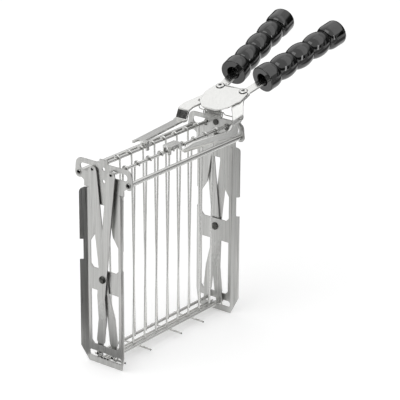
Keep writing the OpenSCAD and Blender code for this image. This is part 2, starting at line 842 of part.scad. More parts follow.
spring_path = concat(
    [for (y = [front_arm_y, front_arm_y + 3, -coil_half - 2.4, -coil_half - 1.1])
        [[hook_x, y, spring_z], 0]],
    [for (k = [1 : rings_per_turn * spring_turns - 1])
        [coil_point(k / rings_per_turn), 360 * k / rings_per_turn]],
    [for (p = [[coil_half + 1.1, 0], [coil_half + 2.4, 0], [rear_hook_y - 1.6, 0],
               [rear_hook_y - 0.5, 0.5], [rear_hook_y, 1.6],
               [rear_hook_y, sheet_at_hook + 1.2 - spring_z],
               [rear_hook_y, sheet_at_hook + 2.4 - spring_z]])
        [[hook_x, p[0], spring_z + p[1]], 0]]);

function unit(v) = v / norm(v);

module tube(path, radius, sides) {
    last = len(path) - 1;
    rings = [for (i = [0 : last]) let (
        way = unit(path[min(i + 1, last)][0] - path[max(i - 1, 0)][0]),
        out = [cos(path[i][1]), 0, sin(path[i][1])],
        side = unit(cross(way, out)),
        up = cross(side, way))
        for (k = [0 : sides - 1])
            path[i][0] + radius * (cos(360 * k / sides) * up + sin(360 * k / sides) * side)];
    walls = [for (i = [0 : last - 1], k = [0 : sides - 1]) let (
        a = i * sides + k,
        b = i * sides + (k + 1) % sides)
        each [[a, b, b + sides], [a, b + sides, a + sides]]];
    caps = [for (k = [1 : sides - 2]) each [[0, k + 1, k],
        [last * sides, last * sides + k, last * sides + k + 1]]];
    polyhedron(rings, concat(walls, caps));
}

module return_spring() {
    color(bright_steel) tube(spring_path, spring_wire / 2, 6);
}

least_gap = min([for (i = [0 : len(spring_path) - 1], j = [i + 5 : 1 : len(spring_path) - 1])
    norm(spring_path[i][0] - spring_path[j][0])]) - spring_wire;
echo(spring_least_gap = least_gap);

end_plate_near();
end_plate_far();
rail_rear();
rail_front();
handle_bracket();
bracket_rivets();
lever_rivet_rear();
lever_rivet_front();
pivot_rivet_near();
pivot_rivet_far();
rest_rod_1();
rest_rod_2();
rest_rod_3();
cross_wire_1();
cross_wire_2();
cross_wire_3();
cross_wire_4();
arm_a_near();
arm_a_far();
top_rod_rear();
arm_b_near();
arm_b_far();
top_rod_front();
bottom_rod_rear();
bottom_rod_front();
rear_wire_1();
rear_wire_2();
rear_wire_3();
rear_wire_4();
rear_wire_5();
rear_wire_6();
rear_wire_7();
rear_wire_8();
rear_wire_9();
front_wire_1();
front_wire_2();
front_wire_3();
front_wire_4();
front_wire_5();
front_wire_6();
front_wire_7();
front_wire_8();
front_wire_9();
lever_rear();
lever_front();
grip_rear();
grip_front();
return_spring();
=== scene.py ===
# %% [markdown]
# # Toasting tongs for a filled sandwich
#
# A cage of upright wires hangs between two stamped end plates. Two levers with turned black
# grips swing the halves of the cage apart. The construction comes ready made, in metres, with
# every piece in its place. This lesson dresses it: it replaces the plain solids with finely
# rounded surfaces, gives each a finish with the grain of the real metal, and lights it the way
# a small bright thing is lit in a studio.

import json
import math

import bmesh
import bpy
import numpy as np
from mathutils import Matrix, Vector


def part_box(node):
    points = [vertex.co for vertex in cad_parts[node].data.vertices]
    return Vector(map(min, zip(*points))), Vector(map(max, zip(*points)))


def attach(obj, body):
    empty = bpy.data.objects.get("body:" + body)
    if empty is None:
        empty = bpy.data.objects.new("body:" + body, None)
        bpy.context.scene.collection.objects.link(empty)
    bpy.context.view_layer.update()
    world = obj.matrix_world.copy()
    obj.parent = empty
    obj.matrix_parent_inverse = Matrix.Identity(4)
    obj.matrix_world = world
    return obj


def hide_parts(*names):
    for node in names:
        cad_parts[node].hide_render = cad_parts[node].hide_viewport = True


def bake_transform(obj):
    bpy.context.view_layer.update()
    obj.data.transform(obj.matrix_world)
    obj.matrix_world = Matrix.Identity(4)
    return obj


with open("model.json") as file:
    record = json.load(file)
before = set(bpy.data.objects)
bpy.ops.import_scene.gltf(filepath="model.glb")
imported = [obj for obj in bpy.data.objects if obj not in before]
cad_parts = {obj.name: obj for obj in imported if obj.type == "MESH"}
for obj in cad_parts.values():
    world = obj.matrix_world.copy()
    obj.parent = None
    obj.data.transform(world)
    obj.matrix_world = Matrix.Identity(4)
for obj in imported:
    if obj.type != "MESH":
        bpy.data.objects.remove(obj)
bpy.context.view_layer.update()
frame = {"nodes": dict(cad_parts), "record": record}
record = frame["record"]

# %% [markdown]
# ## Where things are
#
# The joints of the construction already say where the rods and the rivets lie, so their places
# are read from it and not typed in again. What is typed here are the sizes that a drawing
# would give: diameters, thicknesses and pitches, in millimetres.

# %% Places and sizes
MM = 0.001
X, Y, Z = 0, 1, 2
JOINT = {joint["name"]: joint for joint in record["behaviour"]["joints"]}
BODY_OF = {node: body for body, nodes in record["behaviour"]["bodies"].items() for node in nodes}
SLOT_OF = {part["node"]: part["material_slot"] for part in record["subparts"]}

LEVER_PIVOT = np.array(JOINT["rear_lever_swing"]["pos_m"])
LEVER_UP = -np.array(JOINT["rear_lever_swing"]["axis"])
LEVER_OUT = np.cross([0.0, 1.0, 0.0], LEVER_UP)
TOP_ROD = np.array(JOINT["rear_grid_swing"]["pos_m"])
ARM_PIVOT_Z = JOINT["arms_a_swing"]["pos_m"][Z]
CAGE_MIDDLE_X = 80 * MM
ROD_R = 1.5 * MM
WIRE_R = 0.9 * MM
LEVER_T = 2.0 * MM


def extent(node):
    """The lowest and highest corner of a node of the construction, as arrays."""
    low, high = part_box(node)
    return np.array(low), np.array(high)


def lever_pivot(side):
    """The pivot of a lever: side is 1 for the rear one and -1 for its mirror image in front."""
    return LEVER_PIVOT * (1, side, 1)


print("lever pivot", LEVER_PIVOT, "top rod", TOP_ROD)

# %% [markdown]
# ## The camera
#
# The camera stands far away with a long lens, looks down at 21 degrees and is rolled by 0.4 of
# a degree. Its place and its angles were fitted to points whose position on the object is
# known.

# %% Camera
FRAME_PX = 400
FOCAL_PX = 2101.5
SENSOR_MM = 36.0
CAMERA_AT = Vector((-1286.81, -1099.35, 818.45)) * MM
AZIMUTH = math.radians(-52.294)
ELEVATION = math.radians(21.321)
ROLL = math.radians(0.3925)


def camera_axes():
    """Right, up and backward directions of the camera. The way ahead is (-sin az cos el,
    cos az cos el, -sin el). The level right and the up square to it are turned by the roll."""
    ahead = Vector((-math.sin(AZIMUTH) * math.cos(ELEVATION),
                    math.cos(AZIMUTH) * math.cos(ELEVATION), -math.sin(ELEVATION)))
    level = ahead.cross(Vector((0, 0, 1))).normalized()
    above = level.cross(ahead)
    right = level * math.cos(ROLL) + above * math.sin(ROLL)
    up = above * math.cos(ROLL) - level * math.sin(ROLL)
    return right, up, -ahead


camera_data = bpy.data.cameras.new("camera")
camera_data.lens = FOCAL_PX / FRAME_PX * SENSOR_MM
camera_data.sensor_width = SENSOR_MM
camera = bpy.data.objects.new("camera", camera_data)
bpy.context.scene.collection.objects.link(camera)
camera.matrix_world = (Matrix.Translation(CAMERA_AT)
                       @ Matrix(camera_axes()).transposed().to_4x4())
bpy.context.scene.camera = camera
bpy.context.scene.view_settings.view_transform = "Standard"
print("lens", round(camera_data.lens, 1), "mm")

# %% [markdown]
# ## Surfaces from numbers
#
# Nearly every new piece here is one idea: rings of points carried along a line. A rod is a
# ring carried along a straight line, a hook along a bent one, a grip is a ring that swells and
# shrinks. The points are worked out as whole arrays, and the mesh gets them in one go.

# %% Rings to mesh
SWEPT_SIDES = 28
TURNED_SIDES = 56
SAME_POINT = 1e-7


def ring_quads(rows, columns):
    """Quads between neighbouring rings: a corner, the next in its ring, and the two above."""
    index = np.arange(rows * columns).reshape(rows, columns)
    beside = np.roll(index, -1, axis=1)
    return np.stack([index[:-1], beside[:-1], beside[1:], index[1:]], axis=-1).reshape(-1, 4)


def ring_uv(run, girth, columns):
    """For each quad's corners: distance round the ring and distance along the line, in metres."""
    round_ring = np.arange(columns + 1) * girth / columns
    grid = np.stack(np.broadcast_arrays(round_ring, run[:, None]), axis=-1)
    corners = [grid[:-1, :-1], grid[:-1, 1:], grid[1:, 1:], grid[1:, :-1]]
    return np.stack(corners, axis=2).reshape(-1, 2)


def ring_mesh(name, rings):
    """Closed mesh through rings of points, an array of rings by points by three. Its map
    "along" holds the distance round the ring and along the line of the ring centres, its
    attribute "from_end" the distance along that line to the nearer end."""
    rows, columns = rings.shape[:2]
    mesh = bpy.data.meshes.new(name)
    mesh.from_pydata(rings.reshape(-1, 3).tolist(), [], ring_quads(rows, columns).tolist())
    centres = rings.mean(axis=1)
    steps = np.linalg.norm(np.diff(centres, axis=0), axis=1)
    run = np.concatenate([[0.0], np.cumsum(steps)])
    radius = np.linalg.norm(rings - centres[:, None], axis=2).mean()
    uv = mesh.uv_layers.new(name="along")
    uv.data.foreach_set("uv", ring_uv(run, 2 * math.pi * radius, columns).ravel())
    from_end = mesh.attributes.new("from_end", "FLOAT", "POINT")
    from_end.data.foreach_set("value", np.repeat(np.minimum(run, run[-1] - run), columns))
    closed(mesh)
    return mesh


def closed(mesh):
    """Merges coinciding points, so poles and seams close, and turns all faces outwards."""
    work = bmesh.new()
    work.from_mesh(mesh)
    bmesh.ops.remove_doubles(work, verts=work.verts, dist=SAME_POINT)
    bmesh.ops.recalc_face_normals(work, faces=work.faces)
    work.to_mesh(mesh)
    work.free()
    mesh.shade_smooth()


def in_scene(name, mesh, material):
    """A new object of the scene that shows a mesh in one material."""
    mesh.materials.clear()
    mesh.materials.append(material)
    piece = bpy.data.objects.new(name, mesh)
    bpy.context.scene.collection.objects.link(piece)
    return piece


def place(name, mesh, material, *nodes):
    """Puts a piece in the scene in the place of one or more nodes, on the body they belong to."""
    piece = in_scene(name, mesh, material)
    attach(piece, BODY_OF[nodes[0]])
    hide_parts(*nodes)
    return piece


# %% Swept and turned forms
END_TURN = (0, 8, 35, 62, 90)
PAST_ROUND = 0.1 * MM
NEARLY_ALONG = 0.9


def swept(path, radii, across=(1.0, 0.0, 0.0)):
    """Rings round a path: centre plus radius times cosine and sine of the angle along two
    directions square to the path, the first of which is made from the direction `across`."""
    across = np.asarray(across, float)
    way = np.gradient(path, axis=0)
    way /= np.linalg.norm(way, axis=1, keepdims=True)
    first = across - way * (way @ across)[:, None]
    first /= np.linalg.norm(first, axis=1, keepdims=True)
    second = np.cross(way, first)
    angle = np.arange(SWEPT_SIDES) * 2 * math.pi / SWEPT_SIDES
    flat = (np.cos(angle)[None, :, None] * first[:, None]
            + np.sin(angle)[None, :, None] * second[:, None])
    return path[:, None] + radii[:, None, None] * flat


def rounded(path, radius, edge):
    """Path and radii of a rod with rounded ends. Near an end the centre moves in by
    edge * (1 - cos) while the radius grows by edge * sin, over a quarter turn."""
    path = np.asarray(path, float)
    turn = np.radians(END_TURN)
    grow = radius - edge + edge * np.sin(turn)
    grow[0] = 0.0
    move = np.append(edge * (1 - np.cos(turn)), edge + PAST_ROUND)
    start = (path[1] - path[0]) / np.linalg.norm(path[1] - path[0])
    end = (path[-1] - path[-2]) / np.linalg.norm(path[-1] - path[-2])
    head = path[0] + move[:, None] * start
    tail = path[-1] - move[::-1, None] * end
    radii = np.concatenate([grow, np.full(len(path), radius), grow[::-1]])
    return np.concatenate([head, path[1:-1], tail]), radii


def turned(profile, origin, axis):
    """Surface of revolution: origin + along * axis + radius * (a ring square to the axis).
    The profile is a list of (along, radius) pairs."""
    along, radius = np.asarray(profile, float).T
    axis = np.asarray(axis, float) / np.linalg.norm(axis)
    aside = [0.0, 1.0, 0.0] if abs(axis[Y]) < NEARLY_ALONG else [1.0, 0.0, 0.0]
    first = np.cross(axis, aside)
    first /= np.linalg.norm(first)
    second = np.cross(axis, first)
    angle = np.arange(TURNED_SIDES) * 2 * math.pi / TURNED_SIDES
    ring = np.cos(angle)[:, None] * first + np.sin(angle)[:, None] * second
    return (np.asarray(origin, float) + along[:, None, None] * axis
            + radius[:, None, None] * ring)


def corner(along, radius, size, start, end, steps=4):
    """Points of a rounded corner of a profile: size times cosine and sine round the centre
    (along, radius), from the start angle to the end angle in degrees."""
    angle = np.radians(np.linspace(start, end, steps + 1))
    return [(along + size * math.cos(a), radius + size * math.sin(a)) for a in angle]


# %% [markdown]
# ## Nodes for materials
#
# Colours are written the way a paint chart gives them and turned to linear light by one
# function. One more function adds a node, sets its inputs and links it, so that each finish
# below reads as a recipe. Feature sizes in the recipes are in real millimetres.

# %% Colour and node helpers
MM_PER_METRE = 1000.0


def linear(code):
    """sRGB hex to linear: up to 0.04045 a division by 12.92, above it a power of 2.4."""
    parts = [int(code[i:i + 2], 16) / 255 for i in (1, 3, 5)]
    return tuple(p / 12.92 if p <= 0.04045 else ((p + 0.055) / 1.055) ** 2.4
                 for p in parts) + (1.0,)


def add(tree, kind, inputs=(), **properties):
    """Adds a node, sets its properties, and sets each input to a value or links a socket."""
    item = tree.nodes.new(kind)
    for name, value in properties.items():
        setattr(item, name, value)
    for name, value in dict(inputs).items():
        if isinstance(value, bpy.types.NodeSocket):
            tree.links.new(value, item.inputs[name])
        else:
            item.inputs[name].default_value = value
    return item


def maths(tree, operation, first, second):
    """The result of one operation on two values or sockets."""
    return add(tree, "ShaderNodeMath", {0: first, 1: second}, operation=operation).outputs[0]


def new_material(name):
    """An empty node material and its tree."""
    material = bpy.data.materials.new(name)
    material.use_nodes = True
    material.node_tree.nodes.clear()
    return material, material.node_tree


def finish_with(tree, shader):
    """Links a shader to the material's output."""
    add(tree, "ShaderNodeOutputMaterial", {"Surface": shader.outputs[0]})


def ramp(tree, factor, low, high, start=0.3, end=0.7):
    """A blend from one value or colour to another as the factor goes from start to end. The
    range that is used if none is given holds nearly all values of a noise."""
    item = add(tree, "ShaderNodeValToRGB", {"Fac": factor})
    item.color_ramp.elements[0].position = start
    item.color_ramp.elements[1].position = end
    for element, value in zip(item.color_ramp.elements, (low, high)):
        element.color = linear(value) if isinstance(value, str) else (value,) * 3 + (1.0,)
    return item.outputs["Color"]


def streaks(tree, vector, across_mm, along_mm, axis, detail=3.0):
    """Noise drawn out along one axis: each axis of the pattern is scaled by one over the
    wanted feature size, so a streak is across_mm wide and along_mm long."""
    scale = [MM_PER_METRE / across_mm] * 3
    scale[axis] = MM_PER_METRE / along_mm
    drawn = add(tree, "ShaderNodeMapping", {"Vector": vector, "Scale": scale})
    noise = add(tree, "ShaderNodeTexNoise",
                {"Vector": drawn.outputs[0], "Scale": 1.0, "Detail": detail})
    return noise.outputs["Fac"]


def spots(tree, vector, size_mm, detail):
    """Noise of one feature size in all directions."""
    return streaks(tree, vector, size_mm, size_mm, X, detail)


def bump(tree, height, strength, depth_mm):
    """Normals tilted by the slope of a pattern that is depth_mm deep."""
    return add(tree, "ShaderNodeBump", {"Strength": strength, "Distance": depth_mm * MM,
                                        "Height": height}).outputs[0]


def metal(tree, colour, gloss, normal, anisotropic=0.0):
    """Bare metal from its colour, roughness and normals."""
    return add(tree, "ShaderNodeBsdfPrincipled", {
        "Base Color": colour, "Metallic": 1.0, "Roughness": gloss,
        "Anisotropic": anisotropic, "Normal": normal})


def dark_where(tree, mask, dark, colour):
    """The dark colour where the mask is one, the other colour where it is nothing."""
    return add(tree, "ShaderNodeMix", {"Factor": mask, "A": colour, "B": linear(dark)},
               data_type="RGBA").outputs["Result"]


# %% [markdown]
# ## Brushed stainless sheet
#
# The end plates and the crossed arms are cut from stainless sheet that was brushed upright
# before it was stamped. The belt leaves scratches a few tenths of a millimetre apart and a few
# centimetres long. They spread what the sheet mirrors into a soft mid grey with upright
# streaks. Real scratches are finer than a pixel here, so they are drawn about as wide as one.

# %% Brushed sheet
BAND_SHARE = 0.3


def brushed_sheet():
    """Stainless sheet, brushed upright: grey with drawn-out streaks in tone, gloss and relief.
    The tone is the grain and a wider band, mixed by BAND_SHARE."""
    material, tree = new_material("brushed_stainless_sheet")
    where = add(tree, "ShaderNodeTexCoord").outputs["Object"]
    grain = streaks(tree, where, across_mm=0.55, along_mm=45.0, axis=Z)
    band = streaks(tree, where, across_mm=3.5, along_mm=160.0, axis=Z, detail=2.0)
    tone = add(tree, "ShaderNodeMix", {"Factor": BAND_SHARE, "A": grain, "B": band})
    colour = ramp(tree, tone.outputs[0], "#a6a6a4", "#cacac8", start=0.34, end=0.66)
    gloss = ramp(tree, grain, 0.26, 0.37)
    relief = bump(tree, grain, strength=0.25, depth_mm=0.03)
    finish_with(tree, metal(tree, colour, gloss, relief, anisotropic=0.5))
    return material


# %% [markdown]
# ## Polished sheet
#
# The levers and the bracket are polished after bending. They mirror the pale studio almost
# whole, with long faint lines that the mop leaves and a slight waviness where the sheet was
# rolled.

# %% Polished sheet
def polished_sheet():
    """Mopped stainless strip: nearly white, with faint long lines and a slow wave."""
    material, tree = new_material("polished_stainless_sheet")
    where = add(tree, "ShaderNodeTexCoord").outputs["Object"]
    line = streaks(tree, where, across_mm=0.5, along_mm=22.0, axis=X)
    wave = streaks(tree, where, across_mm=9.0, along_mm=14.0, axis=X, detail=1.0)
    colour = ramp(tree, line, "#d6d6d4", "#e9e9e7")
    gloss = ramp(tree, line, 0.14, 0.26)
    relief = bump(tree, wave, strength=0.12, depth_mm=0.1)
    finish_with(tree, metal(tree, colour, gloss, relief))
    return material


# %% [markdown]
# ## Drawn wire
# Rods and wires are pulled through a die and then tumbled. What is left is a bright surface
# with hair-fine lines along its length. The lines follow the piece's own map, whose second
# coordinate runs along the wire, so they bend round the hooks as the real ones do. The flat
# end of each wire is painted dark, as painted shade.

# %% Drawn wire
# Painted shade: the flat end of each wire is painted this dark colour.
SHADED_END_REACH = 0.03 * MM
END_SHADE = "#1c1c1b"


def drawn_wire(name, low, high, rough_low, rough_high):
    """Drawn steel wire: lines along the wire in tone and gloss, from its own along-map. The
    flat ends are painted dark as painted shade: the flat face is where the distance from the end
    is nearly nothing."""
    material, tree = new_material(name)
    where = add(tree, "ShaderNodeUVMap", uv_map="along").outputs["UV"]
    line = streaks(tree, where, across_mm=0.3, along_mm=14.0, axis=Y)
    from_end = add(tree, "ShaderNodeAttribute", attribute_name="from_end").outputs["Fac"]
    # painted shade on the flat ends
    shaded_end = maths(tree, "LESS_THAN", from_end, SHADED_END_REACH)
    colour = dark_where(tree, shaded_end, END_SHADE, ramp(tree, line, low, high))
    gloss = ramp(tree, line, rough_low, rough_high)
    relief = bump(tree, line, strength=0.1, depth_mm=0.03)
    finish_with(tree, metal(tree, colour, gloss, relief))
    return material


# %% [markdown]
# ## Rivets
#
# Rivet heads are pressed by a die, which leaves them bright and a little hammered. The
# dimple and a ring round the rim are painted dark, as painted shade. The rivets through the
# plates are painted a dark satin, as painted shade.

# %% Rivet steel
# Painted shade: the dark colour painted into the dimple and round the rim of the bright rivets.
RIVET_SHADE = "#141413"
DIMPLE_SHADE = (-1.0 * MM, 0.4 * MM)
RIM_SHADE = (1.6 * MM, 2.6 * MM)
ROUGH_SPREAD = 0.12


def rivet_steel(name, low, high, rough, shade_ranges=()):
    """Pressed steel: spots about a millimetre across vary the tone and dent the surface. Painted
    shade darkens each given range of distances from the nearer end of the rivet, in metres."""
    material, tree = new_material(name)
    where = add(tree, "ShaderNodeTexCoord").outputs["Object"]
    spot = spots(tree, where, size_mm=1.2, detail=4.0)
    colour = ramp(tree, spot, low, high)
    # painted shade in each given range of distances
    for start, end in shade_ranges:
        from_end = add(tree, "ShaderNodeAttribute", attribute_name="from_end").outputs["Fac"]
        within = maths(tree, "MULTIPLY", maths(tree, "GREATER_THAN", from_end, start),
                       maths(tree, "LESS_THAN", from_end, end))
        colour = dark_where(tree, within, RIVET_SHADE, colour)
    gloss = ramp(tree, spot, rough, rough + ROUGH_SPREAD)
    relief = bump(tree, spot, strength=0.15, depth_mm=0.1)
    finish_with(tree, metal(tree, colour, gloss, relief))
    return material


# %% [markdown]
# ## Black grips
#
# The grips are a hard thermoset plastic, turned and buffed to a gloss. It is almost black and
# mirrors the lamps sharply. Buffing leaves a faint orange-peel a couple of millimetres across,
# and handling leaves a bloom that dulls the gloss in soft patches.

# %% Black plastic
def black_plastic():
    """Buffed thermoset: near black, sharp gloss that a slow noise dulls in patches."""
    material, tree = new_material("buffed_black_plastic")
    where = add(tree, "ShaderNodeTexCoord").outputs["Object"]
    bloom = spots(tree, where, size_mm=11.0, detail=4.0)
    peel = spots(tree, where, size_mm=2.2, detail=1.0)
    colour = ramp(tree, bloom, "#080808", "#101010", start=0.35)
    gloss = ramp(tree, bloom, 0.055, 0.12, start=0.35)
    shader = add(tree, "ShaderNodeBsdfPrincipled", {
        "Base Color": colour, "Roughness": gloss, "IOR": 1.55, "Specular IOR Level": 0.8,
        "Normal": bump(tree, peel, strength=0.04, depth_mm=0.2)})
    finish_with(tree, shader)
    return material


# %% The finishes
BRUSHED = brushed_sheet()
POLISHED = polished_sheet()
WIRE = drawn_wire("drawn_stainless_wire", "#cacac8", "#e6e6e4", 0.14, 0.24)
SPRING = drawn_wire("drawn_spring_steel", "#b0b0ad", "#d2d2cf", 0.14, 0.24)
BRIGHT_RIVET = rivet_steel("pressed_bright_steel", "#c8c8c6", "#e4e4e2", 0.10,
                           (DIMPLE_SHADE, RIM_SHADE))
# Painted shade: the dark tone of these rivets is painted in and stands for the shade on them.
DARK_RIVET = rivet_steel("pressed_dark_steel", "#3d3d3b", "#6a6a67", 0.30)
PLASTIC = black_plastic()

# %% [markdown]
# ## Sheet pieces
#
# The plates, arms, levers and the bracket have the right shape already, but their edges are
# perfectly sharp, and real sheet never is: the press leaves a fine round on every edge, and
# that round is what catches the light. A copy of each solid gets its triangles merged back
# into flat faces, and a Bevel then rounds only the sharp edges. Each flat face keeps one
# normal, so that it mirrors like a flat face.

# %% Rounded copies of the sheet solids
SAME_CORNER = 2e-6
FLAT_ANGLE = math.radians(0.5)
BEND_ANGLE = math.radians(27)
SHARP_ANGLE = math.radians(22)
WIDE_FACE = 8 * MM ** 2
FULL_WEIGHT = 100
EDGE_MM = {"brushed_stainless_sheet": 0.16, "polished_stainless_sheet": 0.3}


def eased_sheet(node, material, edge_mm):
    """A copy of a node with its doubles merged, flat faces joined and sharp edges rounded. A
    line where two wide faces meet at more than the bend angle stays crisp; the narrow facets
    of a round stay smooth."""
    mesh = frame["nodes"][node].data.copy()
    work = bmesh.new()
    work.from_mesh(mesh)
    bmesh.ops.remove_doubles(work, verts=work.verts, dist=SAME_CORNER)
    bmesh.ops.dissolve_limit(work, verts=work.verts, edges=work.edges,
                             angle_limit=FLAT_ANGLE)
    for face in work.faces:
        face.smooth = True
    for edge in work.edges:
        wide = len(edge.link_faces) == 2 and all(f.calc_area() > WIDE_FACE
                                                 for f in edge.link_faces)
        edge.smooth = not (wide and edge.calc_face_angle(0.0) > BEND_ANGLE)
    work.to_mesh(mesh)
    work.free()
    piece = place("sheet_" + node, mesh, material, node)
    bevel = piece.modifiers.new("edge", "BEVEL")
    bevel.width = edge_mm * MM
    bevel.segments = 2
    bevel.limit_method = "ANGLE"
    bevel.angle_limit = SHARP_ANGLE
    bevel.use_clamp_overlap = False
    weighted = piece.modifiers.new("flat_faces", "WEIGHTED_NORMAL")
    weighted.mode = "FACE_AREA"
    weighted.weight = FULL_WEIGHT
    weighted.keep_sharp = True


for slot, material in (("brushed_stainless_sheet", BRUSHED),
                       ("polished_stainless_sheet", POLISHED)):
    sheets = [node for node, slot_of_node in SLOT_OF.items() if slot_of_node == slot]
    for node in sheets:
        eased_sheet(node, material, EDGE_MM[slot])
    print(slot, len(sheets))

# %% [markdown]
# ## Rails, rods and cross wires
#
# The two outer rails are tubes whose open ends show as dark rings in the ears. The other rods
# are solid, cut square and tumbled, so their ends are slightly round.

# %% Rails and rods
RAIL_R = 2.3 * MM
RAIL_BORE_R = 1.35 * MM
RAIL_RIM = 0.35 * MM
ROD_NAMES = ("rest_rod", "cross_wire", "top_rod", "bottom_rod")


def straight(node):
    """Ends and radius of a straight round node, from its box: the longest side is the axis."""
    low, high = extent(node)
    middle = (low + high) / 2
    axis = int(np.argmax(high - low))
    start, end = middle.copy(), middle.copy()
    start[axis], end[axis] = low[axis], high[axis]
    return start, end, min(high - low) / 2


def rail(node):
    """A tube turned about its axis. The profile goes out along the wall, round the rim, and
    back through the bore."""
    start, end, _ = straight(node)
    length = end[X] - start[X]
    rim = RAIL_RIM
    outer = (corner(rim, RAIL_R - rim, rim, 180, 90)
             + [(2 * rim, RAIL_R), (length - 2 * rim, RAIL_R)]
             + corner(length - rim, RAIL_R - rim, rim, 90, 0))
    inner = (corner(length - rim, RAIL_BORE_R + rim, rim, 0, -90)
             + [(length - 2 * rim, RAIL_BORE_R), (2 * rim, RAIL_BORE_R)]
             + corner(rim, RAIL_BORE_R + rim, rim, -90, -180))
    mesh = ring_mesh("tube_" + node, turned(outer + inner + outer[:1], start, end - start))
    place("tube_" + node, mesh, WIRE, node)


def rod(node):
    """A straight rod of round section with its ends rounded by a quarter of its radius."""
    start, end, radius = straight(node)
    path, radii = rounded([start, end], radius, radius / 4)
    mesh = ring_mesh("rod_" + node, swept(path, radii, across=(0.0, 0.0, 1.0)))
    place("rod_" + node, mesh, WIRE, node)


rods = [node for node in BODY_OF if node.startswith(ROD_NAMES)]
for node in ("rail_rear", "rail_front"):
    rail(node)
for node in rods:
    rod(node)
print("rods", len(rods))

# %% [markdown]
# ## The hanging wires
#
# Each grid is nine wires that hang from a top rod. A wire starts in a hook laid over the rod,
# runs down on the sandwich side and ends at the bottom rod, where it is welded. The hook is an
# arc of the same wire, so one path carries the ring through both.

# %% Hooked wires
HOOK_TURN = math.radians(205)
HOOK_GAP = 0.2 * MM
HOOK_R = ROD_R + HOOK_GAP + WIRE_R
HOOK_POINTS = 26
LEG_POINTS = 6
LEG_START = 2 * MM
LEG_PAST_ROD = 0.3 * MM


def hooked_wire(node, side):
    """Path in the plane across the cage: (-r cos t, r sin t) round the top rod from the end of
    the hook to the inner side, then straight down the leg, all turned by the tilt of the grid
    and mirrored for the front. The tilt is read from the bottom rod's place."""
    low, high = extent(node)
    at_x = (low[X] + high[X]) / 2
    bottom_low, bottom_high = extent("bottom_rod_rear")
    drop = TOP_ROD - (bottom_low + bottom_high) / 2
    length = math.hypot(drop[Y], drop[Z])
    tilt = math.atan2(drop[Y], drop[Z])
    turn = np.linspace(HOOK_TURN, 0.0, HOOK_POINTS)
    hook = np.stack([-HOOK_R * np.cos(turn), HOOK_R * np.sin(turn)], axis=1)
    leg = np.stack([np.full(LEG_POINTS, -HOOK_R),
                    np.linspace(-LEG_START, -length - LEG_PAST_ROD, LEG_POINTS)], axis=1)
    across, above = np.concatenate([hook, leg]).T
    y = across * math.cos(tilt) + above * math.sin(tilt)
    z = -across * math.sin(tilt) + above * math.cos(tilt)
    points = np.stack([np.full(len(y), at_x), side * (TOP_ROD[Y] + y), TOP_ROD[Z] + z], axis=1)
    path, radii = rounded(points, WIRE_R, WIRE_R / 2)
    place("hook_" + node, ring_mesh("hook_" + node, swept(path, radii)), WIRE, node)


for name, side in (("rear_wire_", 1), ("front_wire_", -1)):
    for node in sorted(n for n in BODY_OF if n.startswith(name)):
        hooked_wire(node, side)
print("wires from x", extent("rear_wire_1")[0][X], "to", extent("rear_wire_9")[1][X])

# %% [markdown]
# ## Rivets in their places
#
# Three kinds of rivet hold it together. The lever rivets have a wide bright head with a
# dimple, the arm pivots a dark domed head outside and a flat one inside, and two small dark
# ones clamp the bracket to the tab of the far plate.

# %% Rivet forms
HEAD_DOME = ((0.35, 0.0), (0.75, 0.25), (1.1, 0.8), (1.3, 1.5))
DIMPLE_FLOOR = 0.4 * MM
EASE = 0.05 * MM


def lever_rivet(node, side):
    """Foot, shank and head as one profile, turned about the lever's own upright. The head goes
    up over the bracket by HEAD_DOME, which pairs its height with the inset from its rim, in
    millimetres, and falls into the dimple."""
    head_r, shank_r, dimple_r = 4.2 * MM, 2.5 * MM, 1.6 * MM
    gap, sheet, seat = 0.3 * MM, 1.5 * MM, 0.02 * MM
    foot_t, foot_edge = 1.0 * MM, 0.4 * MM
    lip, slope = 0.3 * MM, 0.25 * MM
    top = gap + sheet + seat
    foot = -LEVER_T - gap
    crest = top + HEAD_DOME[-1][0] * MM
    profile = ([(foot - foot_t, 0.0), (foot - foot_t, head_r - foot_edge)]
               + corner(foot - foot_t + foot_edge, head_r - foot_edge, foot_edge, 180, 90)
               + [(foot, head_r), (foot, shank_r), (top, shank_r), (top, head_r)]
               + [(top + rise * MM, head_r - inset * MM) for rise, inset in HEAD_DOME]
               + [(crest, dimple_r + lip + EASE)]
               + corner(crest - lip, dimple_r + lip, lip, 0, -90, 3)
               + [(top + DIMPLE_FLOOR + EASE, dimple_r - slope), (top + DIMPLE_FLOOR, 0.0)])
    mesh = ring_mesh("head_" + node, turned(profile, lever_pivot(side), LEVER_UP))
    place("head_" + node, mesh, BRIGHT_RIVET, node)


def pivot_rivet(node):
    """A flat inner head, a shank and a domed outer head along the cage. The dome's height goes
    with the sine of the rise and its radius with the cosine."""
    low, high = extent(node)
    outward = -1.0 if (low[X] + high[X]) / 2 < CAGE_MIDDLE_X else 1.0
    inner_x = high[X] if outward < 0 else low[X]
    head_r, shank_r, dome = 3.5 * MM, 2.0 * MM, 2.0 * MM
    flat_t, edge = 1.05 * MM, 0.3 * MM
    top = high[X] - low[X] - dome
    rise = np.radians(np.linspace(0, 90, 9))
    profile = ([(0.0, 0.0), (0.0, head_r - edge)]
               + corner(edge, head_r - edge, edge, 180, 90, 3)
               + [(flat_t, head_r), (flat_t, shank_r), (top, shank_r), (top, head_r)]
               + [(top + dome * math.sin(a), head_r * math.cos(a)) for a in rise])
    mesh = ring_mesh("head_" + node, turned(profile, (inner_x, 0.0, ARM_PIVOT_Z),
                                            (outward, 0.0, 0.0)))
    place("head_" + node, mesh, DARK_RIVET, node)


lever_rivet("lever_rivet_rear", 1)
lever_rivet("lever_rivet_front", -1)
for node in ("pivot_rivet_near", "pivot_rivet_far"):
    pivot_rivet(node)
for slot in frame["nodes"]["bracket_rivets"].material_slots:
    slot.material = DARK_RIVET
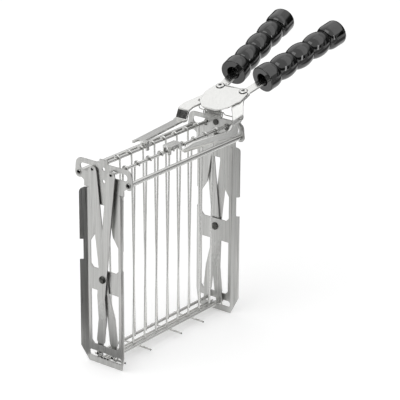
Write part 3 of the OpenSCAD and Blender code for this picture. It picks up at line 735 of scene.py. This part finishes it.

# %% [markdown]
# ## The return spring
#
# A close coil lies across the cage under the bracket. One end is a straight arm through the
# front lever, the other is bent up through the rear lever, so squeezing the grips stretches
# it. It is drawn as two halves that meet in the middle of the coil.

# %% Spring halves
COIL_TURNS = 12
POINTS_PER_TURN = 24
POINTS_LEFT_TO_ARM = 3
COIL_PITCH = 1.7 * MM
COIL_R = 2.7 * MM
SPRING_WIRE_R = 0.5 * MM
spring_low, spring_high = extent("return_spring")
COIL_X = spring_high[X] - COIL_R - SPRING_WIRE_R
COIL_Z = spring_low[Z] + COIL_R + SPRING_WIRE_R
COIL_END = COIL_TURNS * COIL_PITCH / 2
ARM_START = COIL_END + 1.1 * MM
FRONT_ARM_STRAIGHT = COIL_END + 2.4 * MM
ARM_TIP = 1.0 * MM
REAR_HOOK_Y = 18.6 * MM
REAR_BEND = ((-2.5, 0.0), (-1.6, 0.05), (-0.5, 0.55), (0.0, 1.7))
ASLANT = (1.0, 1.0, 1.0)


def coil_half(side):
    """Half of the helix: x and z go round the coil's axis as cosine and sine of the turn, y
    grows by the pitch in each turn. The last eighth of a turn is left to the arm."""
    points = POINTS_PER_TURN * COIL_TURNS // 2 + 1
    turn = np.linspace(COIL_TURNS / 2, COIL_TURNS if side > 0 else 0, points)
    angle = 2 * math.pi * turn
    coil = np.stack([COIL_X + COIL_R * np.cos(angle), -COIL_END + COIL_PITCH * turn,
                     COIL_Z + COIL_R * np.sin(angle)], axis=1)
    return coil[:-POINTS_LEFT_TO_ARM]


def spring_half(name, side, arm):
    """One half of the spring: half the coil and its arm, swept as one wire. The arm is a list
    of (y, z) points beside the coil."""
    arm = np.array([(COIL_X + COIL_R, y, z) for y, z in arm])
    path, radii = rounded(np.concatenate([coil_half(side), arm]), SPRING_WIRE_R,
                          SPRING_WIRE_R / 3)
    piece = in_scene(name, ring_mesh(name, swept(path, radii, ASLANT)), SPRING)
    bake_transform(piece)
    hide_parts("return_spring")


rear_arm = ([(ARM_START, COIL_Z)]
            + [(REAR_HOOK_Y + y * MM, COIL_Z + z * MM) for y, z in REAR_BEND]
            + [(REAR_HOOK_Y, spring_high[Z] - ARM_TIP), (REAR_HOOK_Y, spring_high[Z])])
front_arm = [(-ARM_START, COIL_Z), (-FRONT_ARM_STRAIGHT, COIL_Z),
             (spring_low[Y] + ARM_TIP, COIL_Z), (spring_low[Y], COIL_Z)]
spring_half("spring_rear_half", 1, rear_arm)
spring_half("spring_front_half", -1, front_arm)

# %% [markdown]
# ## The turned grips
#
# Each grip is turned: a plain collar with a recess that swallows the lever's tang, three balls
# and a flared end. It is one profile carried round the lever's direction, with the balls as
# powers of a sine so that they are round in the middle and meet in tight grooves.

# %% Grip profile
COLLAR_L = 16.5 * MM
COLLAR_R = 12.7 * MM
COLLAR_FALL = 8.0 * MM
RECESS_R = 6.2 * MM
RECESS_DEPTH = 9.0 * MM
RECESS_EDGE = 0.3 * MM
BALLS = 3
PITCH = 22.1 * MM
GRIP_R = 11.9 * MM
GROOVE_R = 8.7 * MM
ROUNDNESS = 0.62
END_L = 21.0 * MM
END_SWELL = 0.4 * MM
END_EDGE = 5 * MM
FLARE_L = 7 * MM
GRIP_START = 24.6 * MM
GRIP_LIFT = 2.0 * MM
REAR_GRIP_ANGLE = math.radians(7.2)
FRONT_GRIP_ANGLE = math.radians(9.4)


def grip_profile():
    """Along and radius, from the bottom of the recess, over the rim and the balls, to the
    pole of the far end. A ball's radius is groove + swell * sin(pi t) ** ROUNDNESS, with t
    from 0 to 1 over its length."""
    rim, lip, ease = 0.9 * MM, 0.7 * MM, 0.1 * MM
    recess = [(RECESS_DEPTH, 0.0), (RECESS_DEPTH, RECESS_R - RECESS_EDGE),
              (RECESS_DEPTH - RECESS_EDGE, RECESS_R), (lip + 2 * ease, RECESS_R)]
    mouth = corner(lip, RECESS_R + lip, lip, -90, -180)
    face = [(0.0, RECESS_R + lip + ease), (0.0, COLLAR_R - rim - ease)]
    edge = corner(rim, COLLAR_R - rim, rim, 180, 90, 6)
    fall = np.radians(np.linspace(0, 90, 12))
    shoulder = [(COLLAR_L - COLLAR_FALL + COLLAR_FALL * math.sin(a),
                 GROOVE_R + (COLLAR_R - GROOVE_R) * math.cos(a)) for a in fall]
    step = (1 - np.cos(np.pi * np.linspace(0, 1, 33)[1:])) / 2
    balls = [(COLLAR_L + PITCH * (ball + t),
              GROOVE_R + (GRIP_R - GROOVE_R) * math.sin(math.pi * t) ** ROUNDNESS)
             for ball in range(BALLS) for t in step]
    end_at = COLLAR_L + BALLS * PITCH
    end_r = GRIP_R + END_SWELL
    flare = [(end_at + FLARE_L * (1 - math.cos(a)), GROOVE_R + (end_r - GROOVE_R) * math.sin(a))
             for a in fall[1:]]
    close = corner(end_at + END_L - END_EDGE, end_r - END_EDGE, END_EDGE, 90, 0, 12)
    crown = [(end_at + END_L, GRIP_R - END_EDGE), (end_at + END_L, 0.0)]
    return recess + mouth + face + edge + shoulder + balls + flare + close + crown


def grip(node, side, angle):
    """The profile turned about a line that leaves the lever's direction by the given angle and
    lies a little over the middle of the tang."""
    axis = LEVER_OUT * math.cos(angle) + np.array([0.0, side * math.sin(angle), 0.0])
    origin = lever_pivot(side) + LEVER_UP * (GRIP_LIFT - LEVER_T / 2) + axis * GRIP_START
    mesh = ring_mesh("turned_" + node, turned(grip_profile(), origin, axis))
    place("turned_" + node, mesh, PLASTIC, node)


grip("grip_rear", 1, REAR_GRIP_ANGLE)
grip("grip_front", -1, FRONT_GRIP_ANGLE)
print("grip length", (COLLAR_L + BALLS * PITCH + END_L) / MM, "mm")

# %% [markdown]
# ## Studio
#
# Bright metal shows its surroundings more than itself, so the surroundings are built with
# care. There is a white floor. One large soft lamp hangs above on the left and another above
# the back, and a narrow one on the right draws the thin highlights down the grips. Black cards
# on the left darken the flange there. Grey ones lie at the foot, in front and on the right, and
# three glowing cloths on the right brighten the bend of the front lever and the rails. Only
# mirrors see the cards and the cloths.

# %% Floor
FLOOR_HALF = 6.0
FLOOR_GLOW = 0.29


def stage_plane(name, corners, material):
    """A flat four-cornered piece of the studio."""
    mesh = bpy.data.meshes.new(name)
    mesh.from_pydata(corners, [], [(0, 1, 2, 3)])
    piece = in_scene(name, mesh, material)
    return piece


def floor_paper():
    """White paper: matte white, with enough of its own light that it stays white to the eye
    and in the metal while the lamps still draw the shadows on it."""
    material, tree = new_material("white_paper")
    where = add(tree, "ShaderNodeTexCoord").outputs["Object"]
    fibre = streaks(tree, where, across_mm=1.5, along_mm=3.0, axis=X, detail=4.0)
    matte = add(tree, "ShaderNodeBsdfDiffuse", {"Color": ramp(tree, fibre, "#ededed", "#f2f2f2")})
    path = add(tree, "ShaderNodeLightPath").outputs
    seen = maths(tree, "MAXIMUM", path["Is Camera Ray"], path["Is Glossy Ray"])
    seen = maths(tree, "MAXIMUM", seen, path["Is Transmission Ray"])
    glow = add(tree, "ShaderNodeEmission", {"Color": (1, 1, 1, 1),
                                            "Strength": maths(tree, "MULTIPLY", seen, FLOOR_GLOW)})
    both = add(tree, "ShaderNodeAddShader", {0: matte.outputs[0], 1: glow.outputs[0]})
    finish_with(tree, both)
    return material


stage_plane("floor", [(-FLOOR_HALF, -FLOOR_HALF, 0), (FLOOR_HALF, -FLOOR_HALF, 0),
                      (FLOOR_HALF, FLOOR_HALF, 0), (-FLOOR_HALF, FLOOR_HALF, 0)],
            floor_paper())


# %% Cards and cloths for mirrors
def card(name, colour):
    """A matte card of one colour."""
    material, tree = new_material(name)
    finish_with(tree, add(tree, "ShaderNodeBsdfDiffuse", {"Color": linear(colour)}))
    return material


def softbox(name, strength):
    """An evenly glowing cloth."""
    material, tree = new_material(name)
    finish_with(tree, add(tree, "ShaderNodeEmission", {"Strength": strength}))
    return material


def mirror_only(piece):
    """Hides a piece from the eye, from soft light and from shadows."""
    piece.visible_camera = False
    piece.visible_diffuse = False
    piece.visible_shadow = False
    piece.visible_transmission = False


BLACK_CARD = card("black_card", "#141414")
GREY_CARD = card("grey_card", "#b4b4b4")
MID_GREY_CARD = card("mid_grey_card", "#909090")
FRONT_CLOTH = softbox("front_softbox", strength=1.3)
LOW_CLOTH = softbox("low_softbox", strength=0.45)
RIGHT_CLOTH = softbox("right_softbox", strength=0.5)
ON_FLOOR = 2 * MM
MIRRORED = (
    ("card_left", BLACK_CARD, [(-1.30, -1.30, ON_FLOOR), (-0.03, -0.10, ON_FLOOR),
                               (-0.03, 0.0, ON_FLOOR), (-1.30, -0.34, ON_FLOOR)]),
    ("card_foot", GREY_CARD, [(-0.008, -0.05, ON_FLOOR), (-0.03, -0.05, ON_FLOOR),
                              (-0.05, 0.07, ON_FLOOR), (-0.008, 0.04, ON_FLOOR)]),
    ("card_rear_left", BLACK_CARD, [(-1.12, 0.52, 0.40), (-0.66, 1.02, 0.40),
                                    (-0.66, 1.02, 0.86), (-1.12, 0.52, 0.86)]),
    ("card_left_wall", BLACK_CARD, [(-1.30, -0.95, 0.0), (-1.30, 0.05, 0.0),
                                    (-1.30, 0.05, 0.9), (-1.30, -0.95, 0.9)]),
    ("card_front", GREY_CARD, [(0.02, -1.20, ON_FLOOR), (1.10, -1.20, ON_FLOOR),
                               (0.58, -0.60, ON_FLOOR), (0.02, -0.10, ON_FLOOR)]),
    ("card_right", MID_GREY_CARD, [(0.25, -0.22, ON_FLOOR), (0.60, -0.60, ON_FLOOR),
                                   (1.60, -0.60, ON_FLOOR), (1.60, -0.16, ON_FLOOR)]),
    ("softbox_front", FRONT_CLOTH, [(0.30, 0.22, 1.10), (0.66, 0.18, 1.00),
                                    (0.66, -0.86, 0.60), (0.30, -0.96, 0.60)]),
    ("softbox_low", LOW_CLOTH, [(0.44, -0.92, 0.59), (0.66, -0.84, 0.59),
                                (0.66, -0.90, 0.04), (0.46, -1.00, 0.04)]),
    ("softbox_right", RIGHT_CLOTH, [(1.00, -1.15, 0.15), (1.00, -0.82, 0.15),
                                    (1.00, -0.74, 0.75), (1.00, -1.10, 0.75)]),
)
for name, material, corners in MIRRORED:
    mirror_only(stage_plane(name, corners, material))


# %% Lamps and surroundings
LAMP_AIM = Vector((0.09, 0.0, 0.13))


def soft_lamp(name, towards, distance, width, height, watts):
    """A rectangular lamp that faces the middle of the cage. It hangs at the aim plus the
    direction times the distance."""
    lamp = bpy.data.lights.new(name, "AREA")
    lamp.shape = "RECTANGLE"
    lamp.size, lamp.size_y = width, height
    lamp.energy = watts
    item = bpy.data.objects.new(name, lamp)
    bpy.context.scene.collection.objects.link(item)
    direction = Vector(towards).normalized()
    item.location = LAMP_AIM + direction * distance
    item.rotation_euler = direction.to_track_quat("Z", "Y").to_euler()


soft_lamp("key_lamp", (-0.55, 0.10, 0.80), distance=1.8, width=1.3, height=1.3, watts=7.0)
soft_lamp("strip_lamp", (0.05, -1.0, 0.12), distance=1.4, width=0.18, height=1.1, watts=2.4)
soft_lamp("rear_lamp", (0.50, 0.75, 0.75), distance=1.8, width=1.6, height=1.6, watts=2.4)

DOME_AXIS = (-0.45, 0.15, 0.88)
HORIZON_AXIS = (0.12, 0.0, 1.0)


def surroundings():
    """White behind everything the eye sees. For mirrors and soft light the strength is dome
    times sky. The dome goes from 0.05 to 0.85 as the dot product of the direction and
    DOME_AXIS goes from 0 to 0.2, so it is dark low on the right. The sky goes from 0.05 to 1 as
    the dot product with HORIZON_AXIS goes from 0.24 to 0.36, which leaves a dark belt along the
    horizon, wider on the left."""
    world = bpy.data.worlds.new("studio")
    bpy.context.scene.world = world
    world.use_nodes = True
    tree = world.node_tree
    tree.nodes.clear()
    way = add(tree, "ShaderNodeTexCoord").outputs["Generated"]
    facing = add(tree, "ShaderNodeVectorMath", {0: way, 1: DOME_AXIS}, operation="DOT_PRODUCT")
    height = add(tree, "ShaderNodeVectorMath", {0: way, 1: HORIZON_AXIS},
                 operation="DOT_PRODUCT")
    dome = ramp(tree, facing.outputs["Value"], 0.05, 0.85, start=0.0, end=0.2)
    sky = ramp(tree, height.outputs["Value"], 0.05, 1.0, start=0.24, end=0.36)
    white = (1, 1, 1, 1)
    inside = add(tree, "ShaderNodeBackground", {"Color": white,
                                                "Strength": maths(tree, "MULTIPLY", dome, sky)})
    behind = add(tree, "ShaderNodeBackground", {"Color": white, "Strength": 1.0})
    path = add(tree, "ShaderNodeLightPath").outputs
    mix = add(tree, "ShaderNodeMixShader", {0: path["Is Camera Ray"], 1: inside.outputs[0],
                                            2: behind.outputs[0]})
    add(tree, "ShaderNodeOutputWorld", {"Surface": mix.outputs[0]})


surroundings()
